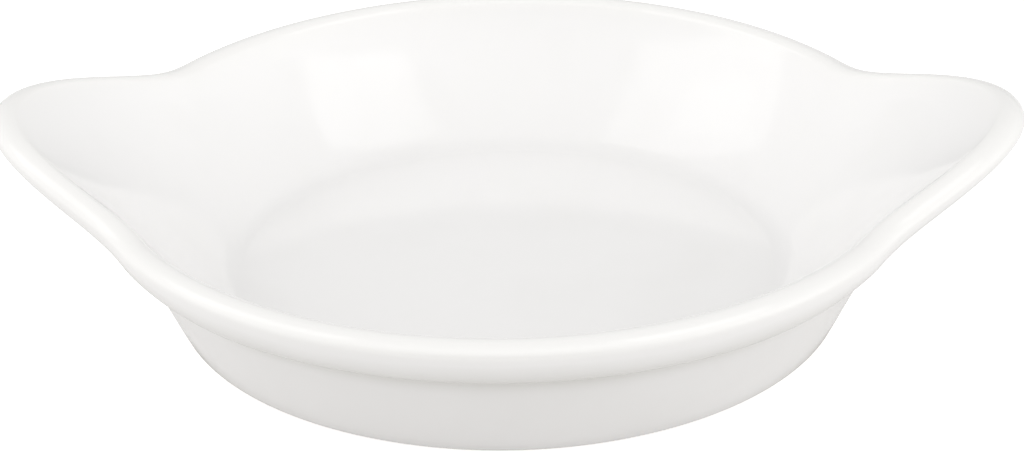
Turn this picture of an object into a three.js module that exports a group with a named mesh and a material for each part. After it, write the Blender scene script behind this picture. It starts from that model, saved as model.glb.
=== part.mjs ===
// Round eared serving dish: one portion, baked and served in the same glazed stoneware dish.
// Millimetres, +Z up. The origin is the middle of the foot, on the table, and the two ears lie
// along X. The dish is turned as a potter turns it, from one section, and the ears are then pulled
// out of the rim.
import * as THREE from 'three';
import { mergeGeometries } from 'three/addons/utils/BufferGeometryUtils.js';

// Rim and ears
const RIM_DIAMETER = 156; // over the rolled band, between the ears
const RIM_HEIGHT = 29; // from the table to the top of the lip, between the ears
const EAR_REACH = 17.5; // from the round rim out to the tip of an ear: 191 over both ears
const EAR_RISE = 9.2; // from the rim's height up to the tip of an ear
const EAR_THINNING = 4; // height that the rolled band loses towards the tip of an ear
const EAR_FLATTENING = 0.7; // lift of the inner wall that levels the lip with the top of an ear
const EAR_ARC = THREE.MathUtils.degToRad(60); // stretch of the rim drawn out into one ear
const EAR_SWEEP = THREE.MathUtils.degToRad(66); // stretch of the rim that climbs to one ear
const THIN_SWEEP = THREE.MathUtils.degToRad(114); // stretch over which the band thins

// Rolled band round the rim
const BAND_HEIGHT = 8; // from the top of the lip down to the crease under the band
const BAND_SETBACK = 3; // from the band's face in to the top of the lip
const BAND_SHOULDER = 2.5; // from the top of the lip down to the widest of the band
const LIP_RADIUS = 2.5; // round from the lip's top over to the inner wall
const CREASE_INSET = 1.4; // flat under the band, from the band in to the crease
const CREASE_RADIUS = 1.2; // hollow round where the band meets the outer wall

// Inside
const FLOOR_HEIGHT = 5; // from the table to the serving floor
const FLOOR_MARGIN = 11; // from the foot's outside in to the edge of the flat floor
const FLOOR_FILLET = 7; // hollow round between the floor and the inner wall
const WALL_BOW = THREE.MathUtils.degToRad(10); // inner wall: steeper at the lip and flatter at the floor

// Foot
const FOOT_DIAMETER = 122; // over the bare ring that stands on the table
const FOOT_WIDTH = 5; // width of that ring
const FOOT_EDGE = 1.5; // round on its outer edge
const FOOT_RECESS = 1.2; // height of the underside above the table
const COVE_GLAZED = THREE.MathUtils.degToRad(60); // turn of the ring's inner cove that is glazed

// Glaze, fired on to the clay
const GLAZE = 0.25;

// Facets round the dish, and along each stretch of its section
const SEGMENTS = 80;
const STEPS = { wall: 6, crease: 2, belly: 4, shoulder: 3, lip: 2, fillet: 4, cove: 2, edge: 1 };

const QUARTER = Math.PI / 2;
const footRadius = FOOT_DIAMETER / 2;
const lipRadius = RIM_DIAMETER / 2 - BAND_SETBACK;
const bandFoot = RIM_HEIGHT - BAND_HEIGHT;

// Centres of the rounds in the section, as radius and height
const footCentre = new THREE.Vector2(footRadius, FOOT_EDGE);
const creaseCentre = new THREE.Vector2(lipRadius - CREASE_INSET, bandFoot - CREASE_RADIUS);
const bandCentre = new THREE.Vector2(lipRadius, RIM_HEIGHT - BAND_SHOULDER);
const lipCentre = new THREE.Vector2(lipRadius, RIM_HEIGHT - LIP_RADIUS);
const filletCentre = new THREE.Vector2(footRadius - FLOOR_MARGIN, FLOOR_HEIGHT + FLOOR_FILLET);
const coveCentre = new THREE.Vector2(footRadius - FOOT_WIDTH - FOOT_RECESS, 0);

// Angle above the horizontal of the line that touches a low round on its outer side and a high
// round on its inner side. The outer wall is that line, and the inner wall bows below it.
function wallAngle(low, lowRadius, high, highRadius) {
  const across = high.clone().sub(low);
  return across.angle() + Math.asin((lowRadius + highRadius) / across.length());
}

const outerAngle = wallAngle(footCentre, FOOT_EDGE + GLAZE, creaseCentre, CREASE_RADIUS);
const innerAngle = wallAngle(filletCentre, FLOOR_FILLET, lipCentre, LIP_RADIUS);

// An arc of the section. It turns the short way from one angle to the other.
function arc(centre, across, up, from, to) {
  return new THREE.EllipseCurve(centre.x, centre.y, across, up, from, to, to < from);
}

// A gentle curve between two places that leaves and arrives at the given angles
function bowed(start, startAngle, end, endAngle) {
  const out = new THREE.Vector2(Math.cos(startAngle), Math.sin(startAngle));
  const into = new THREE.Vector2(Math.cos(endAngle), Math.sin(endAngle));
  const reach = end.clone().sub(start).cross(into) / out.cross(into);
  return new THREE.QuadraticBezierCurve(start, out.multiplyScalar(reach).add(start), end);
}

// How the points of a stretch follow an ear, from its start to its end: shares of the ear's reach,
// of its rise, of the band's thinning and of the lip's flattening
const eased = (t) => THREE.MathUtils.smoothstep(t, 0, 1);
const still = () => ({ reach: 0, rise: 0, thin: 0, flat: 0 });
const outerWall = (t) => ({ reach: t * t, rise: eased(t), thin: eased(t), flat: 0 });
const underBand = () => ({ reach: 1, rise: 1, thin: 1, flat: 0 });
const bandBelly = (t) => ({ reach: 1, rise: 1, thin: Math.cos(t * QUARTER), flat: 0 });
const bandShoulder = () => ({ reach: 1, rise: 1, thin: 0, flat: 0 });
const rolledLip = (t) => ({ reach: 1, rise: 1, thin: 0, flat: t * t });
const innerWall = (t) => ({ reach: (1 - t) ** 2, rise: 1 - eased(t), thin: 0, flat: 1 - eased(t) });

// Points along stretches that follow each other, each with its share of the ears' pull
function points(stretches) {
  return stretches.flatMap(([curve, steps, pull], k) => {
    const all = curve.getPoints(steps).map((place, i) => ({ place, pull: pull(i / steps) }));
    return k === 0 ? all : all.slice(1);
  });
}

// The section from just above the foot, up the outer wall, over the rim and down to the middle of
// the floor. A depth of 0 is the finished surface, and a depth of GLAZE is the clay below it.
function upperSection(depth) {
  const foot = footEdge(depth).getPoint(1);
  const creaseRound = CREASE_RADIUS + depth;
  const crease = arc(creaseCentre, creaseRound, creaseRound, outerAngle + QUARTER, QUARTER);
  const reach = BAND_SETBACK - depth;
  const belly = arc(bandCentre, reach, BAND_HEIGHT - BAND_SHOULDER - depth, -QUARTER, 0);
  const shoulder = arc(bandCentre, reach, BAND_SHOULDER - depth, 0, QUARTER);
  const lipAngle = innerAngle + WALL_BOW;
  const lip = arc(lipCentre, LIP_RADIUS - depth, LIP_RADIUS - depth, QUARTER, lipAngle + QUARTER);
  const floorAngle = innerAngle - WALL_BOW;
  const filletRound = FLOOR_FILLET + depth;
  const fillet = arc(filletCentre, filletRound, filletRound, floorAngle - QUARTER, -QUARTER);
  const floorMiddle = new THREE.Vector2(0, FLOOR_HEIGHT - depth);
  return points([
    [new THREE.LineCurve(foot, crease.getPoint(0)), STEPS.wall, outerWall],
    [crease, STEPS.crease, underBand],
    [new THREE.LineCurve(crease.getPoint(1), belly.getPoint(0)), 1, underBand],
    [belly, STEPS.belly, bandBelly],
    [shoulder, STEPS.shoulder, bandShoulder],
    [lip, STEPS.lip, rolledLip],
    [bowed(lip.getPoint(1), lipAngle, fillet.getPoint(0), floorAngle), STEPS.wall, innerWall],
    [fillet, STEPS.fillet, still],
    [new THREE.LineCurve(fillet.getPoint(1), floorMiddle), 1, still],
  ]);
}

// The round from the table up to where the outer wall starts
function footEdge(depth) {
  const round = FOOT_EDGE + GLAZE - depth;
  return arc(footCentre, round, round, -QUARTER, outerAngle - QUARTER);
}

// The underside from the middle out, and down the glazed part of the ring's cove
function lowerSection(depth) {
  const round = FOOT_RECESS - GLAZE + depth;
  const cove = arc(coveCentre, round, round, QUARTER, QUARTER - COVE_GLAZED);
  const middle = new THREE.Vector2(0, round);
  return points([
    [new THREE.LineCurve(middle, cove.getPoint(0)), 1, still],
    [cove, STEPS.cove, still],
  ]);
}

// The bare ring, from the end of the cove's glaze to the end of the outer wall's glaze
function ringSection() {
  const cove = arc(coveCentre, FOOT_RECESS, FOOT_RECESS, QUARTER - COVE_GLAZED, 0);
  const edge = footEdge(GLAZE);
  return points([
    [cove, STEPS.edge, still],
    [new THREE.LineCurve(cove.getPoint(1), edge.getPoint(0)), 1, still],
    [edge, STEPS.edge, still],
  ]);
}

// Share of an ear at an angle from its middle: 1 there, easing to 0 at both ends of its stretch
function swell(fromEar, stretch) {
  const part = Math.min(fromEar / (stretch / 2), 1);
  return Math.cos(part * QUARTER) ** 2;
}

// Moves the points of a turned section out and up where the rim is pulled into an ear
function pullEars(geometry, section) {
  const { position } = geometry.attributes;
  for (let i = 0; i < position.count; i += 1) {
    const { reach, rise, thin, flat } = section[i % section.length].pull;
    if (rise > 0) {
      const x = position.getX(i);
      const z = position.getZ(i);
      const fromEar = Math.atan2(Math.abs(z), Math.abs(x));
      const out = 1 + (reach * EAR_REACH * swell(fromEar, EAR_ARC)) / Math.hypot(x, z);
      const lift = (rise * EAR_RISE + flat * EAR_FLATTENING) * swell(fromEar, EAR_SWEEP);
      const tuck = thin * EAR_THINNING * swell(fromEar, THIN_SWEEP);
      position.setXYZ(i, x * out, position.getY(i) + lift + tuck, z * out);
    }
  }
}

// Turns a section about the dish's upright axis and pulls the ears
function turned(section) {
  const places = section.map(({ place }) => place);
  const geometry = new THREE.LatheGeometry(places, SEGMENTS);
  pullEars(geometry, section);
  return geometry.rotateX(QUARTER);
}

// Turns a surface's faces over, so that it can close the back of a coat
function flipped(geometry) {
  const { index } = geometry;
  for (let i = 0; i < index.count; i += 3) {
    const first = index.getX(i);
    index.setX(i, index.getX(i + 1));
    index.setX(i + 1, first);
  }
  return geometry;
}

// A coat of glaze: its face, its back on the clay, and the thin edge where it stops
function coat(face, back, edge) {
  return mergeGeometries([turned(face), flipped(turned(back)), turned(edge)]);
}

function piece(name, geometry, material) {
  geometry.computeVertexNormals();
  const mesh = new THREE.Mesh(geometry, material);
  mesh.name = name;
  return mesh;
}

const firedClay = new THREE.MeshStandardMaterial({ color: '#e8e3d8', roughness: 0.85, metalness: 0 });
const whiteGlaze = new THREE.MeshStandardMaterial({ color: '#f3f2ef', roughness: 0.08, metalness: 0 });

const upperFace = upperSection(0);
const upperClay = upperSection(GLAZE);
const lowerFace = lowerSection(0);
const lowerClay = lowerSection(GLAZE);
const claySection = [...lowerClay, ...ringSection().slice(1, -1), ...upperClay];

const dish = new THREE.Group();
dish.name = 'eared_serving_dish';
dish.add(
  piece('clay_body', turned(claySection), firedClay),
  piece('glaze_coat', coat(upperFace, upperClay, [upperClay[0], upperFace[0]]), whiteGlaze),
  piece('underside_glaze', coat(lowerFace, lowerClay, [lowerFace.at(-1), lowerClay.at(-1)]), whiteGlaze),
);

export default dish;
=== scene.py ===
# %% [markdown]
# # A white eared serving dish
# A shallow round dish for baking and serving one portion. It is one piece of fired stoneware under
# a glossy white glaze. Its rim is rolled into a thick band, and on two sides the rim is pulled out
# and up into an ear to lift it by. There is no print and no colour, so the shape of the reflections
# does all the work: the surfaces have to be smooth, and the light has to be right.

# %% Load the frame
import math

import bpy
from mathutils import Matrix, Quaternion, Vector


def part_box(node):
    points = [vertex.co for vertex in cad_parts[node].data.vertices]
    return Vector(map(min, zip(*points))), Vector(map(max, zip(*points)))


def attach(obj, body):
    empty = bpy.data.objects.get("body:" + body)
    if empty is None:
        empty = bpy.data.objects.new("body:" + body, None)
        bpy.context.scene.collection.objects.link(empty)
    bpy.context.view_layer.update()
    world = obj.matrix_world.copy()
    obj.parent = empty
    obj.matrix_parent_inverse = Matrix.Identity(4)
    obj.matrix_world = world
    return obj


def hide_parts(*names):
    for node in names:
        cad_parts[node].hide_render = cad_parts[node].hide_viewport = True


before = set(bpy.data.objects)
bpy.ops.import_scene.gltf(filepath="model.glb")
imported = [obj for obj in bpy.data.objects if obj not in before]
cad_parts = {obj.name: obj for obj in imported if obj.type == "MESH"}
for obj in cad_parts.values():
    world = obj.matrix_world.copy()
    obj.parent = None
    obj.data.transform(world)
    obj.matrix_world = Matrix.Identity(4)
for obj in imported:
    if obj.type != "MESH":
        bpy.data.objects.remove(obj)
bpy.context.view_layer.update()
MM = 0.001

# %% [markdown]
# ## The camera
# The dish was seen from a little above, with the ears almost square to the lens. A long lens from
# about 0.6 m keeps the far rim nearly as wide as the near one. The camera leans one degree, which
# is what tips the near rim down towards the right. It is made first.

# %% Camera
VIEW_ELEVATION = math.radians(26.3)
VIEW_AZIMUTH = math.radians(2.0)
VIEW_ROLL = math.radians(-1.0)
VIEW_DISTANCE = 600 * MM
VIEW_AIM = Vector((0.75, 0, 13)) * MM
VIEW_LENS = 112
SENSOR_WIDTH = 36


def towards(azimuth, elevation):
    """Unit vector from the dish to a place: azimuth 0 is in front, 90 degrees is over the right ear."""
    flat = math.cos(elevation)
    return Vector((math.sin(azimuth) * flat, -math.cos(azimuth) * flat, math.sin(elevation)))


def facing(back):
    """Turn that points a camera or a lamp at what lies against this direction."""
    return (-back).to_track_quat("-Z", "Y")


view_back = towards(VIEW_AZIMUTH, VIEW_ELEVATION)
camera_data = bpy.data.cameras.new("dish_camera")
camera_data.lens = VIEW_LENS
camera_data.sensor_width = SENSOR_WIDTH
camera = bpy.data.objects.new("dish_camera", camera_data)
camera.location = VIEW_AIM + view_back * VIEW_DISTANCE
camera.rotation_mode = "QUATERNION"
camera.rotation_quaternion = facing(view_back) @ Quaternion((0, 0, 1), VIEW_ROLL)
bpy.context.collection.objects.link(camera)
bpy.context.scene.camera = camera
print("Camera at", [round(v, 3) for v in camera.location])

# %% [markdown]
# ## The section
# A potter's template cuts the dish in half: foot, outer wall, crease, rolled band, lip, inner wall,
# fillet, floor. Each stretch is a straight line, an arc or a gentle curve, so the template is drawn
# from a few sizes, with the radii and heights that the frame gives for the rim and the ears. Every
# point also carries how much of an ear's pull it takes, and a tint value: over the top of the band
# and the lip the glaze runs thin and is a shade darker, partly a trace of the clay and partly painted
# shade, and the crease and the band's underside get grey painted shade.

# %% Sizes of the section
glaze_low, glaze_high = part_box("glaze_coat")
clay_low, clay_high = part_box("clay_body")
RIM_RADIUS = glaze_high.y
EAR_REACH = glaze_high.x - RIM_RADIUS
GLAZE = glaze_high.z - clay_high.z
RIM_HEIGHT = 29 * MM
EAR_RISE = glaze_high.z - RIM_HEIGHT
EAR_ARC = math.radians(60)
EAR_SWEEP = math.radians(66)
EAR_THINNING = 4 * MM
THIN_SWEEP = math.radians(114)
EAR_FLATTENING = 0.7 * MM
BAND_HEIGHT = 8 * MM
BAND_SETBACK = 3 * MM
BAND_SHOULDER = 2.5 * MM
LIP_ROUND = 2.5 * MM
CREASE_INSET = 1.4 * MM
CREASE_ROUND = 1.2 * MM
FLOOR_HEIGHT = 5 * MM
FLOOR_MARGIN = 11 * MM
FLOOR_FILLET = 7 * MM
FOOT_RADIUS = 61 * MM
FOOT_WIDTH = 5 * MM
FOOT_EDGE = 1.5 * MM
FOOT_RECESS = 1.2 * MM
COVE_GLAZED = math.radians(60)
WALL_BOW = math.radians(10)
print("Glaze", round(GLAZE / MM, 3), "mm, ears reach", round(EAR_REACH / MM, 2), "mm")

# %% Centres of the rounds
QUARTER = math.pi / 2
lip_radius = RIM_RADIUS - BAND_SETBACK
band_foot = RIM_HEIGHT - BAND_HEIGHT
foot_centre = Vector((FOOT_RADIUS, FOOT_EDGE))
crease_centre = Vector((lip_radius - CREASE_INSET, band_foot - CREASE_ROUND))
band_centre = Vector((lip_radius, RIM_HEIGHT - BAND_SHOULDER))
lip_centre = Vector((lip_radius, RIM_HEIGHT - LIP_ROUND))
fillet_centre = Vector((FOOT_RADIUS - FLOOR_MARGIN, FLOOR_HEIGHT + FLOOR_FILLET))
cove_centre = Vector((FOOT_RADIUS - FOOT_WIDTH - FOOT_RECESS, 0))


def wall_angle(low, low_round, high, high_round):
    """Slope of the line that touches a low round on its outer side and a high one on its inner side."""
    across = high - low
    return math.atan2(across.y, across.x) + math.asin((low_round + high_round) / across.length)


outer_angle = wall_angle(foot_centre, FOOT_EDGE + GLAZE, crease_centre, CREASE_ROUND)
inner_angle = wall_angle(fillet_centre, FLOOR_FILLET, lip_centre, LIP_ROUND)
print("Walls lean at", [round(math.degrees(a), 1) for a in (outer_angle, inner_angle)], "degrees")

# %% Stretches of the section


def arc(centre, across, up, start, end):
    """An arc of the section, as a function of how far along it a point is."""
    def at(t):
        angle = start + (end - start) * t
        return centre + Vector((across * math.cos(angle), up * math.sin(angle)))
    return at


def straight(start, end):
    """A straight stretch of the section."""
    return lambda t: start.lerp(end, t)


def bowed(start, start_angle, end, end_angle):
    """A gentle curve that leaves its start at one slope and meets its end at another."""
    out = Vector((math.cos(start_angle), math.sin(start_angle)))
    into = Vector((math.cos(end_angle), math.sin(end_angle)))
    gap = end - start
    reach = (gap.x * into.y - gap.y * into.x) / (out.x * into.y - out.y * into.x)
    corner = start + out * reach
    return lambda t: start.lerp(corner, t).lerp(corner.lerp(end, t), t)


def eased(t):
    return t * t * (3 - 2 * t)


def rows_along(stretches):
    """Rows of (radius, height, pull, thin glaze and painted shade) along stretches that follow each
    other.
    """
    rows = []
    for curve, steps, pull, shade_and_thin_glaze in stretches:
        for i in range(0 if not rows else 1, steps + 1):
            place = curve(i / steps)
            rows.append((place.x, place.y, pull(i / steps), shade_and_thin_glaze(i / steps)))
    return rows


# %% [markdown]
# ### Ears out of a round section
# On the real dish the ears are pressed in one with the rim. They could be modelled apart and joined
# on, but the join would show. So the section itself is pulled. The rim takes all of an ear's reach
# and rise, and the walls take less and less of it towards the foot and the floor. The underside of
# the band is lifted further, which thins the ear. The inner side of the lip is lifted a little, so
# that the ear's top runs smoothly into the wall.

# %% How each stretch follows an ear
# Shares of the ear's reach, of its rise, of its thinning and of its flattening, along a stretch.


def still(t):
    return (0, 0, 0, 0)


def outer_wall(t):
    return (t * t, eased(t), eased(t), 0)


def under_band(t):
    return (1, 1, 1, 0)


def band_belly(t):
    return (1, 1, math.cos(t * QUARTER), 0)


def band_shoulder(t):
    return (1, 1, 0, 0)


def rolled_lip(t):
    return (1, 1, 0, t * t)


def inner_wall(t):
    return ((1 - t) ** 2, 1 - eased(t), 0, 1 - eased(t))


# %% Thin glaze and painted shade
# Along a stretch, from -1 where the glaze is thin and a little painted shade dims it, through 0, to 1
# for full painted shade.
# Painted shade: the top share of the outer wall under the band is shaded, and the shade fades up the
# belly by this power.
SHADED_WALL_SHARE = 0.18
BELLY_SHADE_FADE = 1.5


def even(t):
    return 0


# Over the top of the band and the lip: thin glaze, partly a trace of the clay and partly painted shade.
def thin_glaze_painted_shade(t):
    return -1


# Full painted shade: in the crease, just under the band and in the foot's cove.
def painted_shade(t):
    return 1


def painted_shade_under_band(t):
    """Up the outer wall: no shade, then more and more painted shade close under the band."""
    return max(0, (t - (1 - SHADED_WALL_SHARE)) / SHADED_WALL_SHARE)


def painted_shade_up_belly(t):
    """Up the belly of the band: painted shade at its lower edge, none where it is widest."""
    return (1 - t) ** BELLY_SHADE_FADE


# %% The whole section
WALL_STEPS = 28
CREASE_STEPS = 8
UNDER_STEPS = 2
BELLY_STEPS = 18
SHOULDER_STEPS = 14
LIP_STEPS = 12
FILLET_STEPS = 18
FLOOR_STEPS = 6
COVE_STEPS = 6
EDGE_STEPS = 6


def foot_edge(depth):
    size = FOOT_EDGE + GLAZE - depth
    return arc(foot_centre, size, size, -QUARTER, outer_angle - QUARTER)


def upper_rows(depth):
    """From just above the foot, over the rim and down to the middle of the floor, below the finish."""
    hollow = CREASE_ROUND + depth
    crease = arc(crease_centre, hollow, hollow, outer_angle + QUARTER, QUARTER)
    reach = BAND_SETBACK - depth
    belly = arc(band_centre, reach, BAND_HEIGHT - BAND_SHOULDER - depth, -QUARTER, 0)
    shoulder = arc(band_centre, reach, BAND_SHOULDER - depth, 0, QUARTER)
    top = LIP_ROUND - depth
    high_angle, low_angle = inner_angle + WALL_BOW, inner_angle - WALL_BOW
    lip = arc(lip_centre, top, top, QUARTER, high_angle + QUARTER)
    corner = FLOOR_FILLET + depth
    fillet = arc(fillet_centre, corner, corner, low_angle - QUARTER, -QUARTER)
    middle = Vector((0, FLOOR_HEIGHT - depth))
    return rows_along([
        (straight(foot_edge(depth)(1), crease(0)), WALL_STEPS, outer_wall, painted_shade_under_band),
        (crease, CREASE_STEPS, under_band, painted_shade),
        (straight(crease(1), belly(0)), UNDER_STEPS, under_band, painted_shade),
        (belly, BELLY_STEPS, band_belly, painted_shade_up_belly),
        (shoulder, SHOULDER_STEPS, band_shoulder, thin_glaze_painted_shade),
        (lip, LIP_STEPS, rolled_lip, thin_glaze_painted_shade),
        (bowed(lip(1), high_angle, fillet(0), low_angle), WALL_STEPS, inner_wall, even),
        (fillet, FILLET_STEPS, still, even),
        (straight(fillet(1), middle), FLOOR_STEPS, still, even),
    ])


def lower_rows(depth):
    """From the middle of the underside out, and down the glazed part of the foot ring's cove."""
    size = FOOT_RECESS - GLAZE + depth
    cove = arc(cove_centre, size, size, QUARTER, QUARTER - COVE_GLAZED)
    return rows_along([
        (straight(Vector((0, size)), cove(0)), FLOOR_STEPS, still, even),
        (cove, COVE_STEPS, still, painted_shade),
    ])


def ring_rows():
    """The bare ring, from the cove's glaze round to the outer wall's glaze."""
    cove = arc(cove_centre, FOOT_RECESS, FOOT_RECESS, QUARTER - COVE_GLAZED, 0)
    edge = foot_edge(GLAZE)
    return rows_along([
        (cove, EDGE_STEPS, still, even),
        (straight(cove(1), edge(0)), EDGE_STEPS, still, even),
        (edge, EDGE_STEPS, still, even),
    ])


print("Finished section has", len(upper_rows(0)), "rows")

# %% [markdown]
# ## Turning the section and pulling the ears
# A Screw modifier would turn the section, but it could not pull the ears, so the rings of points
# are made in code. The rim is pulled by a bell-shaped share of the ear, which starts and ends
# without a kink: a kink would show at once in the glaze. Each piece closes on itself, as the solid
# does.

# %% Turned pieces
COLUMNS = 288
SHARP = math.radians(50)


def swell(from_ear, stretch):
    """Share of an ear at an angle from its middle: 1 there, easing to 0 at both ends of its stretch."""
    return math.cos(min(from_ear / (stretch / 2), 1) * QUARTER) ** 2


def ring_points(radius, height, pull):
    """Points of one row round the dish, pulled out and up where the rim becomes an ear."""
    points = []
    reach, rise, tuck, flat = pull
    for k in range(COLUMNS):
        angle = 2 * math.pi * k / COLUMNS
        x, y = math.cos(angle), math.sin(angle)
        from_ear = math.atan2(abs(y), abs(x))
        out = radius + reach * EAR_REACH * swell(from_ear, EAR_ARC)
        lift = (rise * EAR_RISE + flat * EAR_FLATTENING) * swell(from_ear, EAR_SWEEP)
        thinned = tuck * EAR_THINNING * swell(from_ear, THIN_SWEEP)
        points.append((x * out, y * out, height + lift + thinned))
    return points


def softened(values, passes=6):
    """Values along the section with their steps eased out."""
    for _ in range(passes):
        padded = [values[0], *values, values[-1]]
        values = [(a + 2 * b + c) / 4 for a, b, c in zip(padded, padded[1:], padded[2:])]
    return values


def turned_piece(name, rows, closed=False):
    """A mesh turned from rows of the section. A row on the axis is one point."""
    points, rings, shade_and_thin_glaze = [], [], []
    eased_shade_and_thin_glaze = softened([row[3] for row in rows])
    for (radius, height, pull, _), shade_and_thin_glaze_here in zip(rows, eased_shade_and_thin_glaze):
        made = ring_points(radius, height, pull) if radius > 0 else [(0, 0, height)]
        rings.append(range(len(points), len(points) + len(made)))
        points += made
        shade_and_thin_glaze += [shade_and_thin_glaze_here] * len(made)
    faces = []
    for low, high in zip(rings, rings[1:] + rings[:1] if closed else rings[1:]):
        # Two rows on the axis have no faces between them.
        for k in range(COLUMNS if len(low) + len(high) > 2 else 0):
            here, there = (low[k % len(low)], high[k % len(high)])
            next_here, next_there = (low[(k + 1) % len(low)], high[(k + 1) % len(high)])
            faces.append(list(dict.fromkeys((here, next_here, next_there, there))))
    mesh = bpy.data.meshes.new(name)
    mesh.from_pydata(points, [], faces)
    mesh.attributes.new("painted_shade_and_thin_glaze", "FLOAT", "POINT").data.foreach_set("value", shade_and_thin_glaze)
    mesh.shade_smooth()
    mesh.set_sharp_from_angle(angle=SHARP)
    piece = bpy.data.objects.new(name, mesh)
    bpy.context.collection.objects.link(piece)
    print(name, "has", len(points), "points and", len(faces), "faces")
    return piece


clay = turned_piece("dish_clay", lower_rows(GLAZE) + ring_rows()[1:-1] + upper_rows(GLAZE))
glaze = turned_piece("dish_glaze", upper_rows(0) + upper_rows(GLAZE)[::-1], closed=True)
base_glaze = turned_piece("dish_base_glaze", lower_rows(0)[::-1] + lower_rows(GLAZE), closed=True)

# %% [markdown]
# ## Pieces on the frame
# The dish is one rigid body, so all three pieces ride on it. Each stands for one solid of the CAD
# model and hides it.

# %% Pieces on the frame
for piece, node, slot in (
    (clay, "clay_body", "fired_clay"),
    (glaze, "glaze_coat", "white_glaze"),
    (base_glaze, "underside_glaze", "white_glaze"),
):
    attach(piece, "root")
    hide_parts(node)
    print(piece.name, "stands for", node)

# %% [markdown]
# ## Materials
# Colours are written as sRGB hex and turned to linear once. One small function adds a node, sets
# its values and links what feeds it. Nearly all of a noise pattern lies between two levels, which
# are named here because both finishes use them.

# %% Colour and node helpers
NOISE_LOW = 0.3
NOISE_HIGH = 0.7


def linear(hex_colour):
    """Linear RGBA of an sRGB hex colour."""
    parts = [int(hex_colour[i:i + 2], 16) / 255 for i in (1, 3, 5)]
    curve = [c / 12.92 if c <= 0.04045 else ((c + 0.055) / 1.055) ** 2.4 for c in parts]
    return (*curve, 1)


def add_node(tree, kind, inputs=None, **settings):
    """A node with its settings. Each input, by name or number, is a value or another node's socket."""
    node = tree.nodes.new(kind)
    for name, value in settings.items():
        setattr(node, name, value)
    for name, value in (inputs or {}).items():
        if isinstance(value, bpy.types.NodeSocket):
            tree.links.new(value, node.inputs[name])
        else:
            node.inputs[name].default_value = value
    return node


def colour_stops(ramp_node, stops):
    """Puts a ramp's colours at their places, from 0 to 1."""
    elements = ramp_node.color_ramp.elements
    while len(elements) < len(stops):
        elements.new(1)
    for element, (position, hex_colour) in zip(elements, stops):
        element.position = position
        element.color = linear(hex_colour)


def new_material(name):
    """An empty node material and its tree."""
    material = bpy.data.materials.new(name)
    material.use_nodes = True
    material.node_tree.nodes.clear()
    return material, material.node_tree


# %% [markdown]
# ### Opaque white glaze, fired glossy
# A layer of glass with fine white grains in it. Light that enters is scattered back white, and the
# glass face mirrors the lamps. It never sets dead flat: it keeps a faint ripple a few millimetres
# wide, like the skin of an orange, which makes the edges of reflections swim a little. Over the top
# of the band and the lip the colour is a shade darker: partly a trace of the clay where the glaze
# runs thin, and partly painted shade. In the crease, on the lower belly of the band, just under it
# and in the foot's cove, grey painted shade darkens the colour. Each point carries its share of that,
# so the tint follows that value, mixed with random patches.

# %% White glaze
# Over the lip: a trace of the clay and a little painted shade.
GLAZE_THIN_AND_PAINTED_SHADE = "#efeeec"
GLAZE_WHITE = "#f0efee"
# Grey painted shade for the crease, the band's underside and the foot's cove.
GLAZE_PAINTED_SHADE = "#d5d4cf"
GLAZE_IOR = 1.52
GLAZE_SMOOTH = 0.08
GLAZE_DULL = 0.12
PATCH_WIDTH = 22 * MM
PATCH_SHARE = 0.3
RIPPLE_WIDTH = 5 * MM
RIPPLE_DEPTH = 0.006 * MM


def white_glaze():
    """Colour follows each point's thin glaze and painted shade and random patches, gloss follows the
    patches, and a faint ripple bends the reflections.
    """
    material, tree = new_material("glossy_white_glaze")
    place = add_node(tree, "ShaderNodeTexCoord").outputs["Object"]
    # Each point's thin glaze and painted shade, from -1 to 1.
    shade_and_thin_glaze = add_node(tree, "ShaderNodeAttribute", attribute_name="painted_shade_and_thin_glaze").outputs["Fac"]
    patches = add_node(tree, "ShaderNodeTexNoise", {
        "Vector": place, "Scale": 1 / PATCH_WIDTH, "Detail": 2,
    })
    # Random patches plus the painted shade, turned into a tint from thin glaze through white to painted
    # shade.
    patches_and_painted_shade = add_node(tree, "ShaderNodeMath", {
        0: patches.outputs["Fac"], 1: PATCH_SHARE, 2: shade_and_thin_glaze,
    }, operation="MULTIPLY_ADD")
    middle = PATCH_SHARE / 2
    amount = add_node(tree, "ShaderNodeMapRange", {
        "Value": patches_and_painted_shade.outputs[0], "From Min": middle - 1, "From Max": middle + 1,
    })
    tint_and_painted_shade = add_node(tree, "ShaderNodeValToRGB", {"Fac": amount.outputs["Result"]})
    colour_stops(tint_and_painted_shade, [(0, GLAZE_THIN_AND_PAINTED_SHADE), (0.5, GLAZE_WHITE), (1, GLAZE_PAINTED_SHADE)])
    gloss = add_node(tree, "ShaderNodeMapRange", {
        "Value": patches.outputs["Fac"], "From Min": NOISE_LOW, "From Max": NOISE_HIGH,
        "To Min": GLAZE_SMOOTH, "To Max": GLAZE_DULL,
    })
    ripple = add_node(tree, "ShaderNodeTexNoise", {
        "Vector": place, "Scale": 1 / RIPPLE_WIDTH, "Detail": 1,
    })
    skin = add_node(tree, "ShaderNodeBump", {
        "Height": ripple.outputs["Fac"], "Distance": RIPPLE_DEPTH,
    })
    glass = add_node(tree, "ShaderNodeBsdfPrincipled", {
        "Base Color": tint_and_painted_shade.outputs["Color"],
        "Roughness": gloss.outputs["Result"],
        "IOR": GLAZE_IOR,
        "Normal": skin.outputs["Normal"],
    })
    add_node(tree, "ShaderNodeOutputMaterial", {"Surface": glass.outputs["BSDF"]})
    return material


glaze_material = white_glaze()
glaze.data.materials.append(glaze_material)
base_glaze.data.materials.append(glaze_material)
print("Material:", glaze_material.name)

# %% [markdown]
# ### Bare stoneware, ground
# Stoneware is clay fired until it is dense. It shows only on the ring that the dish stands on. That
# ring is wiped before firing, because glaze would weld the dish to the kiln shelf, and it is ground
# smooth afterwards. So it is matt and faintly warm, with fine round scratches and a few dark grains.

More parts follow.
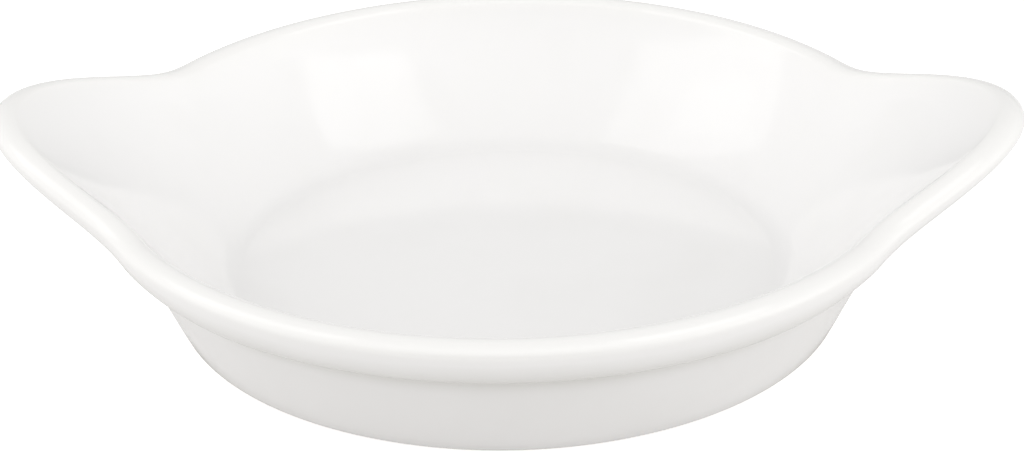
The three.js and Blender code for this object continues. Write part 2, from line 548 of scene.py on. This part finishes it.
# %% Bare stoneware
CLAY_PALE = "#dcd3c4"
CLAY_WARM = "#cbbfac"
CLAY_SPECK = "#9a8a74"
CLAY_WARM_AT = 0.35
CLAY_PALE_AT = 0.65
CLAY_IOR = 1.5
CLAY_SMOOTH = 0.62
CLAY_ROUGH = 0.85
GRAIN_WIDTH = 0.5 * MM
SPECK_SPACING = 2.4 * MM
SPECK_SIZE = 0.16
# Real grinding marks are finer. These are as coarse as a close view needs to show them.
SCRATCH_SPACING = 0.3 * MM
SCRATCH_DEPTH = 0.006 * MM


def bare_stoneware():
    """Matt clay: grains of two tones, scattered dark specks, and scratches that run round the ring."""
    material, tree = new_material("ground_stoneware")
    place = add_node(tree, "ShaderNodeTexCoord").outputs["Object"]
    grain = add_node(tree, "ShaderNodeTexNoise", {
        "Vector": place, "Scale": 1 / GRAIN_WIDTH, "Detail": 3,
    })
    body = add_node(tree, "ShaderNodeValToRGB", {"Fac": grain.outputs["Fac"]})
    colour_stops(body, [(CLAY_WARM_AT, CLAY_WARM), (CLAY_PALE_AT, CLAY_PALE)])
    spots = add_node(tree, "ShaderNodeTexVoronoi", {"Vector": place, "Scale": 1 / SPECK_SPACING})
    near = add_node(tree, "ShaderNodeMapRange", {
        "Value": spots.outputs["Distance"], "From Min": SPECK_SIZE, "From Max": SPECK_SIZE / 2,
    })
    speckled = add_node(tree, "ShaderNodeMixRGB", {
        "Fac": near.outputs["Result"], "Color1": body.outputs["Color"], "Color2": linear(CLAY_SPECK),
    })
    flat = add_node(tree, "ShaderNodeVectorMath", {0: place, 1: (1, 1, 0)}, operation="MULTIPLY")
    radius = add_node(tree, "ShaderNodeVectorMath", {0: flat.outputs["Vector"]}, operation="LENGTH")
    scratches = add_node(tree, "ShaderNodeTexNoise", {
        "W": radius.outputs["Value"], "Scale": 1 / SCRATCH_SPACING, "Detail": 2,
    }, noise_dimensions="1D")
    polish = add_node(tree, "ShaderNodeMapRange", {
        "Value": scratches.outputs["Fac"], "From Min": NOISE_LOW, "From Max": NOISE_HIGH,
        "To Min": CLAY_SMOOTH, "To Max": CLAY_ROUGH,
    })
    ground = add_node(tree, "ShaderNodeBump", {
        "Height": scratches.outputs["Fac"], "Distance": SCRATCH_DEPTH,
    })
    matt = add_node(tree, "ShaderNodeBsdfPrincipled", {
        "Base Color": speckled.outputs["Color"],
        "Roughness": polish.outputs["Result"],
        "IOR": CLAY_IOR,
        "Normal": ground.outputs["Normal"],
    })
    add_node(tree, "ShaderNodeOutputMaterial", {"Surface": matt.outputs["BSDF"]})
    return material


clay_material = bare_stoneware()
clay.data.materials.append(clay_material)
print("Material:", clay_material.name)

# %% [markdown]
# ## The stage
# The dish stands on a white table that is lit a little from below, as photographers do to lose the
# ground. In the picture the table burns out to white. For bounced light it is dimmer, because a
# bright table would flood the shaded wall below the rim. Close to the foot it gives no light of its
# own, so the narrow gap there stays dark.

# %% Table
TABLE_SIZE = 6
TABLE_DROP = 0.02 * MM
TABLE_WHITE = "#b2b1b0"
TABLE_LIGHT = "#fffefd"
TABLE_GLOW = 0.37
TABLE_BURN = 0.9
GAP_WIDTH = 3 * MM


def white_table():
    """A pale sheet that glows faintly, and burns out to white where the camera looks at it."""
    material, tree = new_material("lit_white_table")
    card = add_node(tree, "ShaderNodeBsdfDiffuse", {"Color": linear(TABLE_WHITE)})
    place = add_node(tree, "ShaderNodeTexCoord").outputs["Object"]
    radius = add_node(tree, "ShaderNodeVectorMath", {0: place}, operation="LENGTH")
    clear = add_node(tree, "ShaderNodeMapRange", {
        "Value": radius.outputs["Value"], "From Min": FOOT_RADIUS, "From Max": FOOT_RADIUS + GAP_WIDTH,
        "To Max": TABLE_GLOW,
    })
    seen = add_node(tree, "ShaderNodeLightPath").outputs["Is Camera Ray"]
    burn = add_node(tree, "ShaderNodeMapRange", {
        "Value": seen, "To Min": clear.outputs["Result"], "To Max": TABLE_BURN,
    })
    glow = add_node(tree, "ShaderNodeEmission", {
        "Color": linear(TABLE_LIGHT), "Strength": burn.outputs["Result"],
    })
    both = add_node(tree, "ShaderNodeAddShader", {0: card.outputs[0], 1: glow.outputs[0]})
    add_node(tree, "ShaderNodeOutputMaterial", {"Surface": both.outputs[0]})
    return material


def table_sheet():
    """A flat square under the dish, a hair below its foot, so that the two faces don't coincide."""
    half = TABLE_SIZE / 2
    mesh = bpy.data.meshes.new("table_sheet")
    flat = ((-half, -half), (half, -half), (half, half), (-half, half))
    corners = [(x, y, -TABLE_DROP) for x, y in flat]
    mesh.from_pydata(corners, [], [(0, 1, 2, 3)])
    mesh.materials.append(white_table())
    sheet = bpy.data.objects.new("table_sheet", mesh)
    bpy.context.collection.objects.link(sheet)
    return sheet


table = table_sheet()
print("Table:", TABLE_SIZE, "m square")

# %% [markdown]
# ## The light
# Two softboxes stand left and right, well above the dish. Their mirror images are the two bright
# patches on the far wall: the right lamp shows on the left and the left lamp on the right, with a
# brighter bulb in its middle. The rest comes from the white studio round the dish, which glows
# softly. Most of that comes from the side walls and low on the right, some from over the camera, and
# little from the back. A light is set by how bright its face is, against white card as 1, because
# that is what its mirror image shows.

# %% Softboxes
LAMP_DISTANCE = 1.2


def softbox(name, azimuth, elevation, spin, width, height, brightness):
    """A rectangular lamp that faces the dish. The camera doesn't see it, but the glaze mirrors it."""
    lamp = bpy.data.lights.new(name, "AREA")
    lamp.shape = "RECTANGLE"
    lamp.size, lamp.size_y = width, height
    lamp.energy = brightness * math.pi * width * height
    stand = bpy.data.objects.new(name, lamp)
    back = towards(math.radians(azimuth), math.radians(elevation))
    stand.location = VIEW_AIM + back * LAMP_DISTANCE
    stand.rotation_mode = "QUATERNION"
    stand.rotation_quaternion = facing(back) @ Quaternion((0, 0, 1), math.radians(spin))
    stand.visible_camera = False
    bpy.context.collection.objects.link(stand)
    print(name, "at", [round(v, 2) for v in stand.location], "m,", round(lamp.energy, 2), "W")


softbox("left_softbox", azimuth=-85, elevation=45, spin=47, width=0.9, height=0.64, brightness=0.9)
softbox("left_bulb", azimuth=-92, elevation=44, spin=47, width=0.36, height=0.27, brightness=0.35)
softbox("right_softbox", azimuth=71, elevation=55, spin=-36, width=0.6, height=0.52, brightness=1.15)

# %% White studio
# Each glow is a soft patch of the studio. The higher its focus, the smaller it is.
STUDIO_GLOWS = {
    "left_wall": {"azimuth": -90, "elevation": 0, "focus": 2, "brightness": 1.4},
    "right_wall": {"azimuth": 90, "elevation": 0, "focus": 2, "brightness": 1.0},
    "back_wall": {"azimuth": 180, "elevation": 0, "focus": 2, "brightness": 0.5},
    "ceiling": {"azimuth": 0, "elevation": 90, "focus": 2, "brightness": 0.4},
    "low_left": {"azimuth": -70, "elevation": 8, "focus": 6, "brightness": 0.5},
    "low_right": {"azimuth": 70, "elevation": 8, "focus": 6, "brightness": 1.3},
    "front_left": {"azimuth": -30, "elevation": 48, "focus": 8, "brightness": 0.75},
    "front_right": {"azimuth": 30, "elevation": 48, "focus": 8, "brightness": 1.0},
}


def white_studio():
    """A world of soft glows, which the camera itself sees as plain white."""
    world = bpy.data.worlds.new("white_studio")
    world.use_nodes = True
    tree = world.node_tree
    tree.nodes.clear()
    way = add_node(tree, "ShaderNodeTexCoord").outputs["Generated"]
    total = 0
    for glow in STUDIO_GLOWS.values():
        middle = towards(math.radians(glow["azimuth"]), math.radians(glow["elevation"]))
        along = add_node(tree, "ShaderNodeVectorMath", {0: way, 1: middle}, operation="DOT_PRODUCT")
        ahead = add_node(tree, "ShaderNodeMath", {0: along.outputs["Value"], 1: 0}, operation="MAXIMUM")
        patch = add_node(tree, "ShaderNodeMath", {
            0: ahead.outputs[0], 1: glow["focus"],
        }, operation="POWER")
        added = add_node(tree, "ShaderNodeMath", {
            0: patch.outputs[0], 1: glow["brightness"], 2: total,
        }, operation="MULTIPLY_ADD")
        total = added.outputs[0]
    seen = add_node(tree, "ShaderNodeLightPath").outputs["Is Camera Ray"]
    shown = add_node(tree, "ShaderNodeMapRange", {"Value": seen, "To Min": total})
    light = add_node(tree, "ShaderNodeBackground", {
        "Color": (1, 1, 1, 1), "Strength": shown.outputs["Result"],
    })
    add_node(tree, "ShaderNodeOutputWorld", {"Surface": light.outputs["Background"]})
    return world


bpy.context.scene.world = white_studio()
bpy.context.scene.view_settings.view_transform = "Standard"
print("Studio glows:", *STUDIO_GLOWS)
